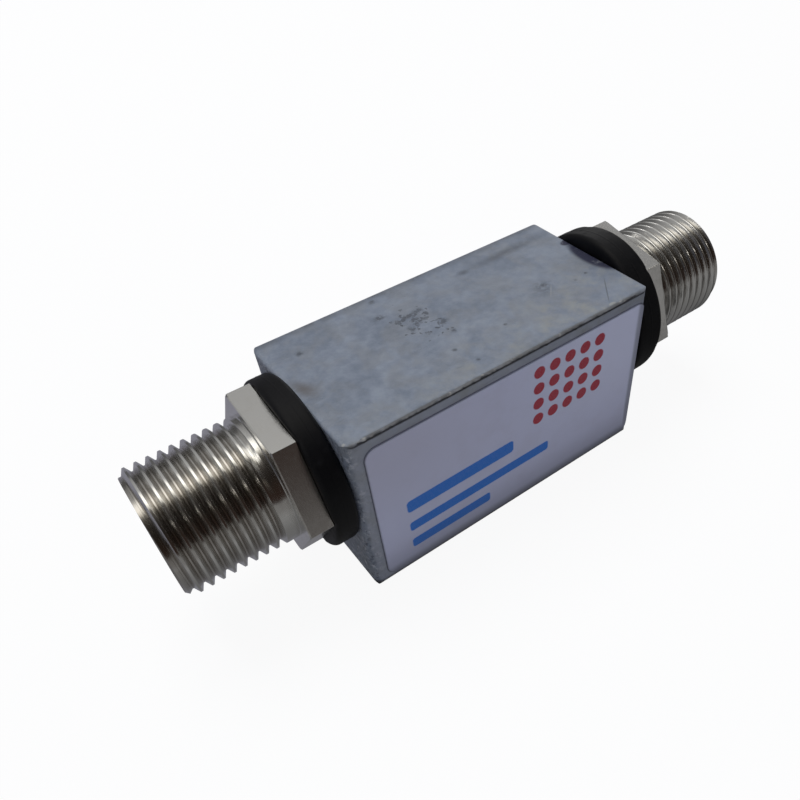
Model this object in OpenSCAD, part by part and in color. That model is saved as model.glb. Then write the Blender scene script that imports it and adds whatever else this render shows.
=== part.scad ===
// In-line coaxial surge arrestor with a threaded, hex-flanged port at each end.
// A cast block carries the two ports on one axis. Inside, a line bar joins the two
// contacts and a gas tube stands between the bar and the earthed bottom cover.
// Millimetres. +X along the coax axis, the label on -Y, +Z up, Z = 0 on the bottom face.

/* [Block] */
// Length of the cast block along the coax axis
block_len = 26.8; // [23:0.1:36]
// Width of the cast block
block_w = 13.3; // [12.4:0.1:18]
// Height of the cast block
block_h = 15.2; // [14.8:0.1:20]
// Height of the coax axis above the bottom face
axis_h = 9.7; // [9.4:0.1:10.2]
// Thickness of the end walls, which take the port threads
end_wall = 3; // [2:0.1:4]
// Thickness of the front and back walls
side_wall = 1.7; // [1.3:0.1:1.9]
// Thickness of the roof
roof_t = 1.5; // [1:0.1:2]
// Radius of the four upright edges
upright_r = 0.8; // [0.3:0.1:1.2]
// Radius of the edges round the bottom face
base_r = 0.8; // [0.2:0.1:1]
// Radius of the edges round the top face
top_r = 0.25; // [0.1:0.05:0.8]
// Inside corner radius of the cast cavity
cavity_r = 0.6; // [0.2:0.1:1.2]

/* [Bottom cover] */
// Thickness of the cover plate
cover_t = 1.2; // [0.8:0.1:1.6]
// Width of the ledge in the block that the plate seats on
ledge = 0.5; // [0.3:0.1:0.7]
// Wall of the upright collar that holds the earth end of the gas tube
collar_wall = 0.6; // [0.4:0.1:0.7]
// Height by which the collar laps the ceramic of the gas tube
collar_lap = 0.6; // [0.2:0.1:1.5]

/* [Ports] */
// Major diameter of the port thread, 3/8 inch
thread_d = 9.525; // [9.4:0.005:9.7]
// Length of the port in front of its hex flange
port_len = 8.15; // [7:0.05:14]
// Chamfer at the mouth of the port thread
mouth_chamfer = 0.5; // [0.2:0.05:0.7]
// Pitch of the port thread, 32 turns to the inch
thread_pitch = 0.79375; // [0.7:0.00625:1]
// Depth of the thread grooves
thread_depth = 0.4; // [0.3:0.05:0.55]
// Width of the crest left between two grooves
crest_flat = 0.32; // [0.32:0.01:0.4]
// Width of the flat at the root of each groove
root_flat = 0.06; // [0.04:0.01:0.1]
// Distance from the mouth of the port to the middle of the first groove
first_groove = 0.7; // [0.6:0.05:1]
// Shortest plain collar between the hex flange and the thread
collar_len = 0.7; // [0.3:0.1:2]
// Hex flange across its flats, 7/16 inch
hex_af = 11.1125; // [10.5:0.0125:12]
// Thickness of the hex flange
hex_t = 1.8; // [1.2:0.1:3]
// Angle at which the left hex came to rest, a corner from +Y towards +Z
left_hex_turn = 5.8; // [0:0.1:60]
// Angle at which the right hex came to rest, a corner from +Y towards +Z
right_hex_turn = 10.7; // [0:0.1:60]
// Diameter of the rear spigot that screws into the block
spigot_d = 8; // [7.6:0.1:8.6]
// Length of that spigot behind the hex flange
spigot_len = 4.8; // [4:0.1:5.4]
// Bore of the port body
port_bore_d = 6.4; // [6:0.1:6.8]
// Opening in the front lip of the port body
lip_d = 5.4; // [4.6:0.1:5.8]
// Thickness of the front lip
lip_t = 0.8; // [0.5:0.1:1.2]

/* [Sealing rings] */
// Distance by which the rubber ring stands proud of the front and back faces
ring_proud = 0.15; // [0:0.05:0.6]
// Thickness of the left ring as tightened, which sets how far out the left port stands
left_ring_t = 1.8; // [1.2:0.1:2.6]
// Thickness of the right ring, squeezed less
right_ring_t = 2.2; // [1.2:0.1:2.6]
// Radius of the ring's two outer edges
ring_edge_r = 0.4; // [0.2:0.05:0.55]

/* [Insulators] */
// Depth of the front insulator's face below the mouth of the port
nose_inset = 0.15; // [0.05:0.05:0.3]
// Length of the front insulator behind the lip
front_len = 4; // [2.5:0.1:5]
// Diameter of the entry hole for the cable's centre conductor
entry_d = 1.5; // [1.5:0.1:1.8]
// Mouth diameter of the entry funnel
funnel_d = 2.6; // [2:0.1:3.4]
// Depth of the entry funnel
funnel_depth = 0.6; // [0.3:0.1:0.8]
// Reach of the rear insulator in front of the hex flange's back face
rear_reach = 2.6; // [1:0.1:3.2]

/* [Contacts] */
// Outer diameter of the contact sleeve
contact_d = 2.3; // [2:0.1:2.8]
// Depth of the contact's mouth below the mouth of the port
contact_inset = 1.3; // [1.1:0.1:2]
// Bore that takes the cable's centre conductor
socket_d = 1.1; // [1:0.05:1.2]
// Depth of that bore
socket_depth = 4.8; // [4:0.1:5.5]
// Width of the slot that parts the two spring fingers
slot_w = 0.25; // [0.15:0.05:0.3]
// Length of the spring fingers
finger_len = 3.4; // [2:0.1:3.8]
// Diameter of the tail that runs back into the block
tail_d = 0.9; // [0.7:0.05:1.1]
// Length of tail behind the spigot
tail_out = 1.6; // [1.2:0.1:2.2]

/* [Line bar] */
// Diameter of the line bar
bar_d = 1.8; // [1.6:0.1:2.4]
// Drop of the milled flat below the coax axis
flat_drop = 0.6; // [0.5:0.05:0.7]
// Length of the flat beyond the gas tube on each side
flat_over = 0.5; // [0.2:0.1:1]
// Length of contact tail held in each end of the bar
tail_lap = 1; // [0.6:0.1:1.1]

/* [Gas tube] */
// Diameter of the electrode caps
tube_d = 8; // [6:0.1:8.2]
// Length of the tube over both caps
tube_len = 6; // [5:0.1:6.2]
// Thickness of each electrode cap
cap_t = 0.9; // [0.5:0.1:1.2]
// Overhang of the caps beyond the ceramic
cap_over = 0.15; // [0.05:0.05:0.3]
// Wall of the ceramic tube
ceramic_wall = 1.2; // [0.8:0.1:1.4]
// Diameter of the electrode bosses inside the tube
boss_d = 4.2; // [2.5:0.1:4.4]
// Spark gap between the two bosses
spark_gap = 0.8; // [0.4:0.1:1.5]

/* [Earth spring] */
// Thickness of the spring strip
spring_t = 0.3; // [0.15:0.05:0.35]
// Width of the spring strip
spring_w = 3.6; // [2:0.1:4]
// Length of the spring over its two feet
spring_len = 6.6; // [5.6:0.1:7]
// Length of each foot
foot_len = 0.8; // [0.5:0.1:1]
// Length of the crown under the gas tube
crown_len = 2; // [1.2:0.1:2.4]

/* [Label] */
// Distance from the left end of the block to the label
label_left_gap = 1.1; // [0.3:0.1:6]
// Distance from the right end of the block to the label
label_right_gap = 0.3; // [0.3:0.1:6]
// Distance from the bottom of the block to the label
label_low_gap = 0.9; // [0.8:0.1:4]
// Distance from the top of the block to the label
label_top_gap = 1; // [0.8:0.1:4]
// Corner radius of the label
label_r = 0.9; // [0.3:0.1:2]
// Thickness of the label
label_t = 0.1; // [0.05:0.05:0.15]

/* [Fits] */
// Radial play in the screwed joint between port and block
screw_play = 0.05; // [0.02:0.01:0.1]
// Radial play of pressed and slipped pieces
slip_play = 0.04; // [0.02:0.01:0.06]
// Radial play between the rubber ring and the spigot
ring_play = 0.15; // [0.05:0.05:0.3]
// Radial play of the gas tube in the cover's collar
tube_play = 0.1; // [0.05:0.05:0.15]
// End play of a contact tail in the line bar
tail_end_play = 0.1; // [0.05:0.05:0.3]

/* [Hidden] */
$fn = 96;

// Overrun of a cut past the face that it opens
cut = 1;

// Cavity of the block
cavity_len = block_len - 2 * end_wall;
cavity_w = block_w - 2 * side_wall;
cavity_top = block_h - roof_t;

// Sealing ring
ring_d = block_w + 2 * ring_proud;

// Stations along a port, outward from the back face of its hex flange
port_end = hex_t + port_len;
lip_start = port_end - lip_t;
front_back = lip_start - front_len;
contact_front = port_end - contact_inset;
hex_corner_d = hex_af / cos(30);
groove_w = thread_pitch - crest_flat;
grooves = floor((port_len - first_groove - groove_w / 2 - collar_len) / thread_pitch) + 1;

// Stack under the line bar
tube_top = axis_h - flat_drop;
tube_base = tube_top - tube_len;
ceramic_d = tube_d - 2 * cap_over;
ceramic_len = tube_len - 2 * cap_t;
boss_len = (ceramic_len - spark_gap) / 2;
spring_h = tube_base - cover_t;
collar_r = tube_d / 2 + tube_play;
collar_h = spring_h + cap_t + collar_lap;

// Line bar, from one contact tail to the other
left_tail = block_len / 2 + left_ring_t - spigot_len - tail_out;
right_tail = block_len / 2 + right_ring_t - spigot_len - tail_out;
bar_len = left_tail + right_tail + 2 * tail_lap;
bar_mid = (right_tail - left_tail) / 2;
flat_len = tube_d + 2 * flat_over;

// Label
label_w = block_len - label_left_gap - label_right_gap;
label_h = block_h - label_low_gap - label_top_gap;
label_mid = (label_left_gap - label_right_gap) / 2;

// Rectangle about the origin with one corner radius
module round_rect(w, h, r) {
    square([w - 2 * r, h], center = true);
    square([w, h - 2 * r], center = true);
    for (x = [-1, 1], y = [-1, 1])
        translate([x * (w / 2 - r), y * (h / 2 - r)]) circle(r);
}

// Upright rectangle standing on the x axis, with one radius below and another above
module standing_rect(w, h, r_low, r_high) {
    translate([-w / 2, r_low]) square([w, h - r_low - r_high]);
    translate([r_low - w / 2, 0]) square([w - 2 * r_low, h / 2]);
    translate([r_high - w / 2, h / 2]) square([w - 2 * r_high, h / 2]);
    for (x = [-1, 1]) {
        translate([x * (w / 2 - r_low), r_low]) circle(r_low);
        translate([x * (w / 2 - r_high), h - r_high]) circle(r_high);
    }
}

// Outside of the block, larger all round by grow: plan, front and side outlines meet
module block_form(grow = 0) {
    len = block_len + 2 * grow;
    wide = block_w + 2 * grow;
    tall = block_h + 2 * grow;
    translate([0, 0, -grow])
        intersection() {
            linear_extrude(tall)
                round_rect(len, wide, upright_r + grow);
            rotate([90, 0, 0])
                linear_extrude(wide, center = true)
                    standing_rect(len, tall, base_r + grow, top_r + grow);
            rotate([90, 0, 90])
                linear_extrude(len, center = true)
                    standing_rect(wide, tall, base_r + grow, top_r + grow);
        }
}

// A piece drawn along +Z, set on the coax axis at a distance out from the right or left end face
module on_right(out = 0) {
    translate([block_len / 2 + out, 0, axis_h])
        rotate([0, 90, 0])
            children();
}

module on_left(out = 0) {
    mirror([1, 0, 0]) on_right(out) children();
}

module housing() {
    color([0.50, 0.53, 0.57])
        difference() {
            block_form();
            translate([0, 0, -cut])
                linear_extrude(cavity_top + cut)
                    round_rect(cavity_len, cavity_w, cavity_r);
            translate([0, 0, -cut])
                linear_extrude(cover_t + cut)
                    round_rect(cavity_len + 2 * ledge, cavity_w + 2 * ledge, cavity_r + ledge);
            on_right() port_hole();
            on_left() port_hole();
        }
}

// Hole in an end wall for the spigot of a port
module port_hole() {
    translate([0, 0, -end_wall - cut])
        cylinder(h = end_wall + 2 * cut, d = spigot_d + 2 * screw_play);
}

module bottom_cover() {
    color([0.52, 0.55, 0.58]) {
        linear_extrude(cover_t)
            round_rect(
                cavity_len + 2 * (ledge - slip_play),
                cavity_w + 2 * (ledge - slip_play),
                cavity_r + ledge - slip_play
            );
        translate([0, 0, cover_t])
            difference() {
                cylinder(h = collar_h, r = collar_r + collar_wall);
                cylinder(h = collar_h + cut, r = collar_r);
            }
    }
}

// Thin film that follows the front face, and turns with the upright edge where it reaches it
module label() {
    color([0.80, 0.80, 0.86])
        intersection() {
            difference() {
                block_form(label_t);
                block_form();
            }
            translate([label_mid, 0, label_low_gap + label_h / 2])
                rotate([90, 0, 0])
                    linear_extrude(block_w)
                        round_rect(label_w, label_h, label_r);
        }
}

// Grooves of the port thread, turned as rings one pitch apart instead of a helix
module thread_cut() {
    root_r = thread_d / 2 - thread_depth;
    slope = (groove_w - root_flat) / 2 / thread_depth;
    over = groove_w / 2 + slope * cut;
    rotate_extrude()
        for (i = [0:grooves - 1])
            translate([root_r, port_end - first_groove - i * thread_pitch])
                polygon([
                    [0, -root_flat / 2],
                    [thread_depth + cut, -over],
                    [thread_depth + cut, over],
                    [0, root_flat / 2]
                ]);
}

// Turned port: rear spigot, hex flange and threaded barrel round one stepped bore
module port_form(turn) {
    difference() {
        union() {
            translate([0, 0, -spigot_len])
                cylinder(h = spigot_len + hex_t, d = spigot_d);
            rotate(90 + turn)
                cylinder(h = hex_t, d = hex_corner_d, $fn = 6);
            cylinder(h = port_end - mouth_chamfer, d = thread_d);
            translate([0, 0, port_end - mouth_chamfer])
                cylinder(h = mouth_chamfer, d1 = thread_d, d2 = thread_d - 2 * mouth_chamfer);
        }
        translate([0, 0, -spigot_len - cut])
            cylinder(h = spigot_len + cut + lip_start, d = port_bore_d);
        cylinder(h = port_end + cut, d = lip_d);
        thread_cut();
    }
}

module left_port_body() {
    color([0.74, 0.73, 0.70]) on_left(left_ring_t) port_form(left_hex_turn);
}

module right_port_body() {
    color([0.74, 0.73, 0.70]) on_right(right_ring_t) port_form(right_hex_turn);
}

// Moulded ring with rounded outer edges, squeezed between block and hex to the thickness t
module ring_form(t) {
    bore_r = spigot_d / 2 + ring_play;
    rim_r = ring_d / 2 - ring_edge_r;
    rotate_extrude() {
        translate([bore_r, 0]) square([rim_r - bore_r, t]);
        translate([rim_r, ring_edge_r]) square([ring_edge_r, t - 2 * ring_edge_r]);
        for (z = [ring_edge_r, t - ring_edge_r])
            translate([rim_r, z]) circle(ring_edge_r);
    }
}

module left_sealing_ring() {
    color([0.07, 0.07, 0.08]) on_left() ring_form(left_ring_t);
}

module right_sealing_ring() {
    color([0.07, 0.07, 0.08]) on_right() ring_form(right_ring_t);
}

// Front insulator: nose through the lip, entry funnel, and a pocket for the contact
module front_insulator_form() {
    nose_face = port_end - nose_inset;
    difference() {
        union() {
            translate([0, 0, front_back])
                cylinder(h = front_len, d = port_bore_d - 2 * slip_play);
            translate([0, 0, front_back])
                cylinder(h = nose_face - front_back, d = lip_d - 2 * slip_play);
        }
        translate([0, 0, front_back - cut])
            cylinder(h = contact_front - front_back + cut, d = contact_d + 2 * slip_play);
        translate([0, 0, front_back])
            cylinder(h = port_end - front_back, d = entry_d);
        translate([0, 0, nose_face - funnel_depth])
            cylinder(h = funnel_depth, d1 = entry_d, d2 = funnel_d);
    }
}

module left_front_insulator() {
    color([0.90, 0.89, 0.85]) on_left(left_ring_t) front_insulator_form();
}

module right_front_insulator() {
    color([0.90, 0.89, 0.85]) on_right(right_ring_t) front_insulator_form();
}

// Rear insulator: a plug in the bore, level with the end of the spigot
module rear_insulator_form() {
    translate([0, 0, -spigot_len])
        difference() {
            cylinder(h = spigot_len + rear_reach, d = port_bore_d - 2 * slip_play);
            translate([0, 0, -cut])
                cylinder(h = spigot_len + rear_reach + 2 * cut, d = tail_d + 2 * slip_play);
        }
}

module left_rear_insulator() {
    color([0.90, 0.89, 0.85]) on_left(left_ring_t) rear_insulator_form();
}

module right_rear_insulator() {
    color([0.90, 0.89, 0.85]) on_right(right_ring_t) rear_insulator_form();
}

// Contact: slotted sleeve between the two insulators, with a tail into the block
module contact_form() {
    difference() {
        union() {
            translate([0, 0, rear_reach])
                cylinder(h = contact_front - rear_reach, d = contact_d);
            translate([0, 0, -spigot_len - tail_out])
                cylinder(h = spigot_len + tail_out + rear_reach, d = tail_d);
        }
        translate([0, 0, contact_front - socket_depth])
            cylinder(h = socket_depth + cut, d = socket_d);
        translate([-contact_d, -slot_w / 2, contact_front - finger_len])
            cube([2 * contact_d, slot_w, finger_len + cut]);
    }
}

module left_contact() {
    color([0.78, 0.66, 0.36]) on_left(left_ring_t) contact_form();
}

module right_contact() {
    color([0.78, 0.66, 0.36]) on_right(right_ring_t) contact_form();
}

// Line bar: round rod bored at both ends for the tails, milled flat over the gas tube
module line_bar() {
    socket_len = tail_lap + tail_end_play;
    color([0.78, 0.60, 0.34])
        translate([0, 0, axis_h])
            difference() {
                translate([bar_mid, 0, 0])
                    rotate([0, 90, 0])
                        cylinder(h = bar_len, d = bar_d, center = true);
                for (side = [-1, 1])
                    translate([bar_mid + side * (bar_len - socket_len + cut) / 2, 0, 0])
                        rotate([0, 90, 0])
                            cylinder(h = socket_len + cut, d = tail_d + 2 * slip_play, center = true);
                translate([-flat_len / 2, -bar_d, -flat_drop - bar_d])
                    cube([flat_len, 2 * bar_d, bar_d]);
            }
}

module gas_tube_ceramic() {
    color([0.93, 0.92, 0.90])
        translate([0, 0, tube_base + cap_t])
            difference() {
                cylinder(h = ceramic_len, d = ceramic_d);
                translate([0, 0, -cut])
                    cylinder(h = ceramic_len + 2 * cut, d = ceramic_d - 2 * ceramic_wall);
            }
}

// Electrode drawn from its outer face: cap, then boss
module electrode_form() {
    cylinder(h = cap_t, d = tube_d);
    cylinder(h = cap_t + boss_len, d = boss_d);
}

module gas_tube_line_electrode() {
    color([0.72, 0.72, 0.74])
        translate([0, 0, tube_top])
            mirror([0, 0, 1])
                electrode_form();
}

module gas_tube_earth_electrode() {
    color([0.72, 0.72, 0.74])
        translate([0, 0, tube_base]) electrode_form();
}

// Leaf spring with flat feet on the cover and a flat crown under the tube
module earth_spring() {
    foot_x = spring_len / 2 - foot_len;
    upper = [
        [-spring_len / 2, spring_t],
        [-foot_x, spring_t],
        [-crown_len / 2, spring_h],
        [crown_len / 2, spring_h],
        [foot_x, spring_t],
        [spring_len / 2, spring_t]
    ];
    last = len(upper) - 1;
    lower = [for (i = [last:-1:0]) upper[i] - [0, spring_t]];
    color([0.70, 0.70, 0.68])
        translate([0, 0, cover_t])
            rotate([90, 0, 0])
                linear_extrude(spring_w, center = true)
                    polygon(concat(upper, lower));
}

housing();
bottom_cover();
label();
left_port_body();
right_port_body();
left_sealing_ring();
right_sealing_ring();
left_front_insulator();
right_front_insulator();
left_rear_insulator();
right_rear_insulator();
left_contact();
right_contact();
line_bar();
gas_tube_ceramic();
gas_tube_line_electrode();
gas_tube_earth_electrode();
earth_spring();
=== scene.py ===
import bmesh
import bpy
import numpy as np
from mathutils import Matrix, Vector


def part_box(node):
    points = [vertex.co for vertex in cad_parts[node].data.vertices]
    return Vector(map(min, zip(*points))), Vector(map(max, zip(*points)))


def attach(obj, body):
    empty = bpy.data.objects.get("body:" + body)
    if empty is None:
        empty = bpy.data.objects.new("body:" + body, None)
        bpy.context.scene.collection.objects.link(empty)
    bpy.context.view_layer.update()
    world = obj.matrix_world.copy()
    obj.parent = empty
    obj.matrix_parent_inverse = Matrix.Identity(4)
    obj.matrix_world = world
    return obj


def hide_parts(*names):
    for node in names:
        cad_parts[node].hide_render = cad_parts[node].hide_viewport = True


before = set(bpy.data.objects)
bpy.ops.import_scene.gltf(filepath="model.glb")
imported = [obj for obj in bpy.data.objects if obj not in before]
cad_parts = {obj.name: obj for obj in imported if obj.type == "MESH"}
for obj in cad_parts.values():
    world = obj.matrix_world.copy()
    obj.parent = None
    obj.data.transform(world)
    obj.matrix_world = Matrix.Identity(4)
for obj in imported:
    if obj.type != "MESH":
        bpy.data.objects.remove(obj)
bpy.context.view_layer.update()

mm = 0.001
blockLow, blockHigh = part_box("housing")
labelLow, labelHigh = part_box("label")
ringLow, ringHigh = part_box("right_sealing_ring")
halfBlock = blockHigh.x / mm  # end face of the block, from the middle
blockTop, blockFront = blockHigh.z / mm, blockLow.y / mm
axisHeight = (ringLow.z + ringHigh.z) / 2 / mm  # coax axis above the bottom face
ringRadius = (ringHigh.z - ringLow.z) / 2 / mm
sideNames = {-1: "left", 1: "right"}


def stationsOf(side, piece):  # inner and outer end of a piece of one port, outward from the end face of the block
    low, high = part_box(sideNames[side] + "_" + piece)
    inner, outer = sorted((side * low.x, side * high.x))
    return inner / mm - halfBlock, outer / mm - halfBlock


print("frame:", len(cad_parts), "nodes, axis", round(axisHeight, 3), "mm up")


# surfaces

def gridQuads(rows, cols, closedRows, closedCols):  # corner numbers of each cell, closed ways joined end to start
    row, col = np.meshgrid(np.arange(rows - (not closedRows)), np.arange(cols - (not closedCols)), indexing="ij")
    nextRow, nextCol = (row + 1) % rows, (col + 1) % cols
    corners = [row * cols + col, row * cols + nextCol, nextRow * cols + nextCol, nextRow * cols + col]
    return np.stack(corners, -1).reshape(-1, 4)


def linkObject(name, data):
    made = bpy.data.objects.new(name, data)
    bpy.context.scene.collection.objects.link(made)
    return made


def surfaceObject(name, points, quads, sharpAngle):  # points in mm; rows that meet are welded, faces turned outwards
    mesh = bpy.data.meshes.new(name)
    mesh.from_pydata((points.reshape(-1, 3) * mm).tolist(), [], quads.tolist())
    shell = bmesh.new()
    shell.from_mesh(mesh)
    bmesh.ops.remove_doubles(shell, verts=shell.verts, dist=1e-7)
    bmesh.ops.recalc_face_normals(shell, faces=shell.faces)
    shell.to_mesh(mesh)
    shell.free()
    mesh.polygons.foreach_set("use_smooth", np.ones(len(mesh.polygons), bool))
    mesh.set_sharp_from_angle(angle=sharpAngle)
    return linkObject(name, mesh)


def alongPort(side, station, radius, angle):  # station outward from the block, radius and angle round the coax axis
    x = side * (halfBlock + station)
    return np.stack([x, radius * np.cos(angle), axisHeight + side * radius * np.sin(angle)], -1)


def softNoise(count, width, seed):  # seeded random values smoothed over width samples, from 0 to 1
    raw = np.random.default_rng(seed).random(count + 4 * width)
    bell = np.hanning(2 * width + 1)
    smooth = np.convolve(raw, bell / bell.sum(), "same")[2 * width:2 * width + count]
    return (smooth - smooth.min()) / (smooth.max() - smooth.min())


def smoothRise(share):  # 0 to 1 with level ends
    return share * share * (3 - 2 * share)


# ports: one turned surface with hex flange and cut thread

portBody = dict(
    pitch=0.79375, crestFlat=0.15, rootFlat=0.11, flankAngle=30, rounding={-1: 0.006, 1: 0.035}, support=0.012,
    majorRadius=4.7625, mouthRadius=4.2625, collar=0.5, collarEdge=0.05, threadFoot=0.12, runOut=0.3,
    hexFlats=11.1125, hexThickness=1.8, hexEdge=0.05, hexBreak=0.09, hexCap=6.27, cornerLand=0.15, flatSamples=32,
    spigotRadius=4.0, spigotChamfer=0.3, boreRadius=3.2, lipRadius=2.7, lipThickness=0.8, lipChamfer=0.08,
    turn={-1: 5.8, 1: 10.7}, crestFromMouth={-1: 0.46, 1: 0.55}, runOutAngle={-1: 195, 1: 20}, sharpAngle=0.45,
)


def softStep(value, width):  # zero below, straight above, with a rounded knee
    return np.where(np.abs(value) < width, (value + width) ** 2 / (4 * width), np.maximum(value, 0))


def hexRadiusAt(degrees):  # half flats / cos(angle from the middle of the flat), with a corner at 0
    return portBody["hexFlats"] / 2 / np.cos(np.radians(degrees % 60 - 30))


# Each row of the surface is a ring round the axis. Plain rows keep one station and radius, hex rows follow the
# hex, and thread rows climb one pitch a turn, so every crest and root lies on a row:
# station = start + pitch * (row phase + angle / full turn), held between the ends.
# The groove is a V with straight flanks, rounded at crest and root, and its depth grows along its first part turn.
def portSurface(side):
    p = portBody
    spigotBack, portEnd = stationsOf(side, "port_body")
    hexBack = stationsOf(side, "sealing_ring")[1]
    hexFront = hexBack + p["hexThickness"]
    threadStart = hexFront + p["collar"]  # nearest that the middle of a groove comes to the hex
    inSector = p["cornerLand"] + np.linspace(0, 60 - 2 * p["cornerLand"], p["flatSamples"])
    fromCorner = (np.arange(6)[:, None] * 60 + inSector).ravel()
    angle = np.radians(fromCorner + side * p["turn"][side])
    share = (angle - angle[0]) / (2 * np.pi)
    hexRadius = hexRadiusAt(fromCorner)
    flat = np.ones_like(angle)

    spigot, major, bore, lip = [p[key] * flat for key in ("spigotRadius", "majorRadius", "boreRadius", "lipRadius")]
    outer = [
        (spigotBack, spigot - p["spigotChamfer"]), (spigotBack + p["spigotChamfer"], spigot),
        (hexBack, spigot), (hexBack, hexRadius - p["hexEdge"]), (hexBack + p["hexEdge"], hexRadius),
        (hexFront - p["hexBreak"], hexRadius), (hexFront, np.minimum(hexRadius - p["hexEdge"], p["hexCap"])),
        (hexFront, major + p["collarEdge"]), (hexFront + p["collarEdge"], major),
    ]
    lipBack = portEnd - p["lipThickness"]
    inner = [
        (portEnd, lip + p["lipChamfer"]), (portEnd - p["lipChamfer"], lip),
        (lipBack, lip), (lipBack, bore), (spigotBack, bore),
    ]

    knee = p["rounding"][side]
    edge = knee + p["support"]
    crestHalf, rootHalf = p["crestFlat"] / 2 / p["pitch"], p["rootFlat"] / 2 / p["pitch"]
    flankSpan = 0.5 - crestHalf - rootHalf
    bends = [crestHalf + s for s in (-knee, -knee / 3, knee / 3, knee, edge)]
    bends += [0.5 - rootHalf + s for s in (-edge, -knee, -knee / 3, knee / 3, knee)]
    phases = np.array([0] + bends + [0.5] + [1 - b for b in reversed(bends)])
    perTurn = len(phases)
    depth = flankSpan * p["pitch"] / np.tan(np.radians(p["flankAngle"]))
    first = portEnd - p["crestFromMouth"][side] + p["pitch"] * angle[0] / (2 * np.pi)
    first += p["pitch"] * (np.floor((threadStart - first) / p["pitch"]) - 2)
    turns = int(np.ceil((portEnd - first) / p["pitch"]))
    climb = np.append((np.arange(turns)[:, None] + phases).ravel(), turns)
    station = np.clip(first + p["pitch"] * (climb[:, None] + share), hexFront + p["threadFoot"], portEnd)
    fromCrest = np.abs((climb + 0.5) % 1 - 0.5)
    groove = (softStep(fromCrest - crestHalf, knee) - softStep(fromCrest - 0.5 + rootHalf, knee)) / flankSpan
    startShare = (np.radians(p["runOutAngle"][side]) - angle[0]) / (2 * np.pi) % 1
    startTurn = np.ceil((threadStart - first) / p["pitch"] - 0.5 - startShare) + 0.5 + startShare
    fade = np.clip((np.floor(climb)[:, None] + 0.5 + share - startTurn) / p["runOut"], 0, 1)
    cut = p["majorRadius"] - depth * groove[:, None] * smoothRise(fade)
    mouth = p["mouthRadius"] + portEnd - station
    radius = np.where(station >= portEnd - 1e-9, p["mouthRadius"], np.minimum(cut, mouth))

    stations = np.concatenate([[s * flat for s, _ in outer], station, [s * flat for s, _ in inner]])
    radii = np.concatenate([[r for _, r in outer], radius, [r for _, r in inner]])
    rows, cols = stations.shape
    quads = gridQuads(rows, cols, True, True).reshape(rows, cols, 4)
    firstRow, lastRow = len(outer), len(outer) + len(climb) - 1
    seam = np.arange(firstRow, lastRow)  # a thread row meets the row one turn further at the seam
    quads[seam, cols - 1, 1] = np.minimum(seam + perTurn, lastRow) * cols
    quads[seam, cols - 1, 2] = np.minimum(seam + 1 + perTurn, lastRow) * cols
    return alongPort(side, stations, radii, angle), quads.reshape(-1, 4)


ports = {}
for side, name in sideNames.items():
    ports[side] = surfaceObject(name + "ThreadedPort", *portSurface(side), portBody["sharpAngle"])
    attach(ports[side], "root")
    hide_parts(name + "_port_body")
    print("port", name, len(ports[side].data.polygons), "faces")


# sealing rings: moulded profile turned round the axis

sealingRing = dict(
    innerRadius=4.15, boreChamfer=0.1, edgeRadius=0.4, edgeSteps=9, partingHeight=0.012, partingHalf=0.06,
    partingAcross=(-2.2, -1.0, -0.35, 0.35, 1.0, 2.2), partingLift=(0, 0, 1, 1, 0, 0),
    cheekRadius=5.45, cheekEdge=0.12, cheekSteps=7, columns=216, sharpAngle=0.9, sway=0.03, swayWaves=(2, 3, 5),
    slackFrom=5.4, slack={-1: (0.06, [(0.3, 290)]), 1: (0.0, [(0.15, 245), (0.25, 45)])},  # base, lobes by angle
    hexGap=0.03, swellOver=0.45, swell={-1: 0.08, 1: 0.2},
)


# A closed profile (bore, flat cheeks, rounded shoulders, fine parting ridge in the middle of the rim) is turned round
# the axis. Its rim keeps inside the full radius by a slack that follows squares of cosines of the angle, breathes
# a little with three waves, and swells towards the hex beyond the outline of the hex, where nothing squeezes it.
def ringSurface(side, seed):
    v = sealingRing
    width = stationsOf(side, "sealing_ring")[1]
    corner = np.linspace(0, np.pi / 2, v["edgeSteps"])
    shoulder = ringRadius - v["partingHeight"] - v["edgeRadius"]
    near = np.stack([v["edgeRadius"] * (1 - np.cos(corner)), shoulder + v["edgeRadius"] * np.sin(corner)], 1)
    across = np.array(v["partingAcross"]) * v["partingHalf"]
    lift = np.array(v["partingLift"]) * v["partingHeight"]
    ridge = np.stack([width / 2 + across, shoulder + v["edgeRadius"] + lift], 1)
    far = near[::-1] * [-1, 1] + [width, 0]
    cheekRadii = np.linspace(shoulder - v["cheekEdge"], v["cheekRadius"], v["cheekSteps"])
    cheek = np.stack([np.full_like(cheekRadii, width), cheekRadii], 1)
    chamfer, boreWall = v["boreChamfer"], v["innerRadius"]
    bore = np.array([[width, boreWall + chamfer], [width - chamfer, boreWall],
                     [chamfer, boreWall], [0, boreWall + chamfer]])
    profile = np.concatenate([near, ridge, far, cheek, bore])

    angle = np.linspace(0, 2 * np.pi, v["columns"], endpoint=False)
    waves = np.random.default_rng(seed).uniform(0, 2 * np.pi, 3)
    breathe = sum(np.cos(k * angle + w) for k, w in zip(v["swayWaves"], waves)) / 3
    base, lobes = v["slack"][side]
    slack = base + v["sway"] * (1 - breathe) / 2
    for extra, at in lobes:
        slack = slack + extra * np.maximum(np.cos(angle - np.radians(at)), 0) ** 2
    radius = profile[:, 1:] - np.clip(profile[:, 1:] - v["slackFrom"], 0, 1) * slack
    hexRadius = hexRadiusAt(np.degrees(angle) - side * portBody["turn"][side])
    free = np.clip((radius - hexRadius - v["hexGap"]) / v["swellOver"], 0, 1)
    towardsHex = np.clip(profile[:, :1] / width * 2 - 1, 0, 1)
    station = profile[:, :1] + v["swell"][side] * towardsHex * smoothRise(free)
    return alongPort(side, station, radius, angle), gridQuads(len(profile), v["columns"], True, True)


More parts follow.
